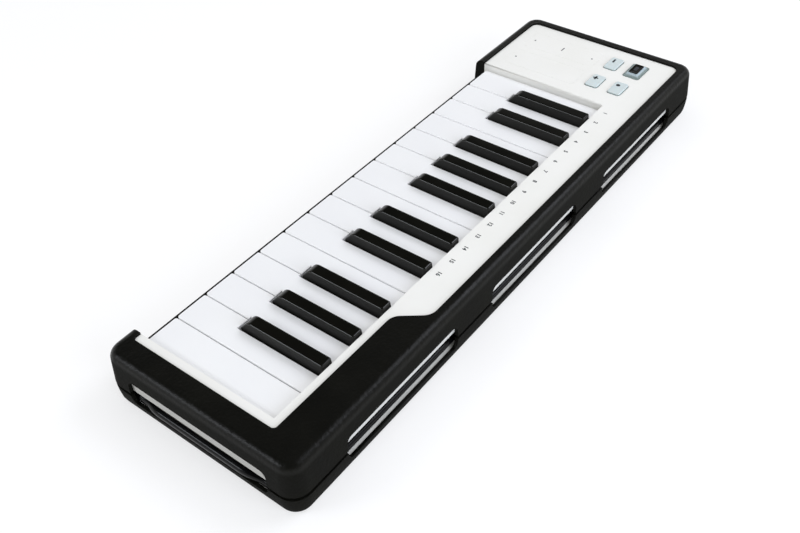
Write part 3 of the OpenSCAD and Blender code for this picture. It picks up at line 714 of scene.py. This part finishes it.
def stage_floor():
    """A plain pale floor that keeps the object's shadow.

    Only sight and reflections meet it, from above: it sends no light up, and light from below goes through.
    """
    mesh = bmesh.new()
    bmesh.ops.create_grid(mesh, x_segments=1, y_segments=1, size=FLOOR_REACH)
    data = bpy.data.meshes.new("floor")
    mesh.to_mesh(data)
    mesh.free()
    floor = bpy.data.objects.new("floor", data)
    bpy.context.scene.collection.objects.link(floor)
    material = bpy.data.materials.new("pale_floor")
    material.use_nodes = True
    tree = material.node_tree
    tree.nodes.clear()
    path = add_node(tree, "ShaderNodeLightPath").outputs
    under = add_node(tree, "ShaderNodeNewGeometry").outputs["Backfacing"]
    direct = add_node(tree, "ShaderNodeMath", {0: path["Is Camera Ray"], 1: path["Is Glossy Ray"]},
                      operation="ADD")
    seen = add_node(tree, "ShaderNodeMath", {0: direct.outputs[0], 1: path["Is Transmission Ray"]},
                    operation="ADD")
    seen_above = add_node(tree, "ShaderNodeMath", {0: seen.outputs[0], 1: under},
                          operation="SUBTRACT", use_clamp=True)
    paint = add_node(tree, "ShaderNodeBsdfDiffuse", {"Color": linear("#b4b4b4")})
    glow = add_node(tree, "ShaderNodeEmission", {"Color": linear("#ffffff"), "Strength": FLOOR_GLOW})
    lit = add_node(tree, "ShaderNodeAddShader", {0: paint.outputs[0], 1: glow.outputs[0]})
    clear = add_node(tree, "ShaderNodeBsdfTransparent")
    both = add_node(tree, "ShaderNodeMixShader",
                    {0: seen_above.outputs[0], 1: clear.outputs[0], 2: lit.outputs[0]})
    add_node(tree, "ShaderNodeOutputMaterial", {"Surface": both.outputs[0]})
    data.materials.append(material)


def studio_world():
    """Soft light from above and a white backdrop, which falls off to a dim ceiling in reflections."""
    world = bpy.data.worlds.new("studio")
    bpy.context.scene.world = world
    world.use_nodes = True
    tree = world.node_tree
    tree.nodes.clear()
    path = add_node(tree, "ShaderNodeLightPath").outputs
    reflected = add_node(tree, "ShaderNodeMath", {0: path["Is Glossy Ray"], 1: path["Is Transmission Ray"]},
                         operation="ADD", use_clamp=True)
    direction = add_node(tree, "ShaderNodeTexCoord").outputs["Generated"]
    height = add_node(tree, "ShaderNodeSeparateXYZ", {"Vector": direction}).outputs["Z"]
    ambient = add_node(tree, "ShaderNodeMapRange",
                       {"Value": height, "From Min": FADE_LOW, "From Max": FADE_HIGH,
                        "To Min": LIGHT_BELOW, "To Max": LIGHT_ABOVE})
    backdrop = add_node(tree, "ShaderNodeMapRange",
                        {"Value": height, "From Min": BACKDROP_TOP, "From Max": CEILING_FROM,
                         "To Min": BACKDROP_WHITE, "To Max": CEILING_DIM})
    unseen = add_node(tree, "ShaderNodeMix",
                      {MIX_SHARE: reflected.outputs[0], NUMBER_A: ambient.outputs["Result"],
                       NUMBER_B: backdrop.outputs["Result"]})
    strength = add_node(tree, "ShaderNodeMix",
                        {MIX_SHARE: path["Is Camera Ray"], NUMBER_A: unseen.outputs[NUMBER_OUT],
                         NUMBER_B: BACKDROP_WHITE})
    sky = add_node(tree, "ShaderNodeBackground",
                   {"Color": linear("#ffffff"), "Strength": strength.outputs[NUMBER_OUT]})
    add_node(tree, "ShaderNodeOutputWorld", {"Surface": sky.outputs[0]})


def softbox(name, place, size, watts, tint, reflected=True):
    """A lamp that faces the object, and shows in reflections or stays out of them."""
    light = bpy.data.lights.new(name, "AREA")
    light.shape = "RECTANGLE"
    light.size, light.size_y = size
    light.energy = watts
    light.color = linear(tint)[:3]
    lamp = bpy.data.objects.new(name, light)
    bpy.context.scene.collection.objects.link(lamp)
    lamp.location = place
    lamp.rotation_euler = (-Vector(place)).to_track_quat("-Z", "Y").to_euler()
    lamp.visible_glossy = reflected


def photo_camera():
    """The camera's place and turn, found from the key edges in the photograph."""
    place = Vector((0.35534, 0.25643, 0.37956))
    right = Vector((-0.606806, 0.793959, -0.037629))
    down = Vector((0.558651, 0.392332, -0.730743))
    ahead = Vector((-0.565417, -0.464440, -0.681615))
    data = bpy.data.cameras.new("camera")
    data.sensor_width = 36
    data.lens = 43.03
    data.clip_start = 0.01
    camera = bpy.data.objects.new("camera", data)
    bpy.context.scene.collection.objects.link(camera)
    turn = Matrix((right, -down, -ahead)).transposed().to_4x4()
    camera.matrix_world = Matrix.Translation(place) @ turn
    bpy.context.scene.camera = camera


stage_floor()
studio_world()
softbox("rear_left", place=(-0.85, 0.54, 1.11), size=(0.9, 0.6), watts=8, tint="#f2f5ff")
softbox("right_front", place=(1.0, -0.68, 0.83), size=(0.5, 0.36), watts=4.4, tint="#f4f8ff")
softbox("rear", place=(0.2, 1.15, 0.45), size=(0.9, 0.8), watts=8.5, tint="#e8f0ff", reflected=False)
softbox("below", place=(0, 0, -1.2), size=(1.0, 0.6), watts=10, tint="#ffffff", reflected=False)
photo_camera()
bpy.context.scene.view_settings.view_transform = "Standard"
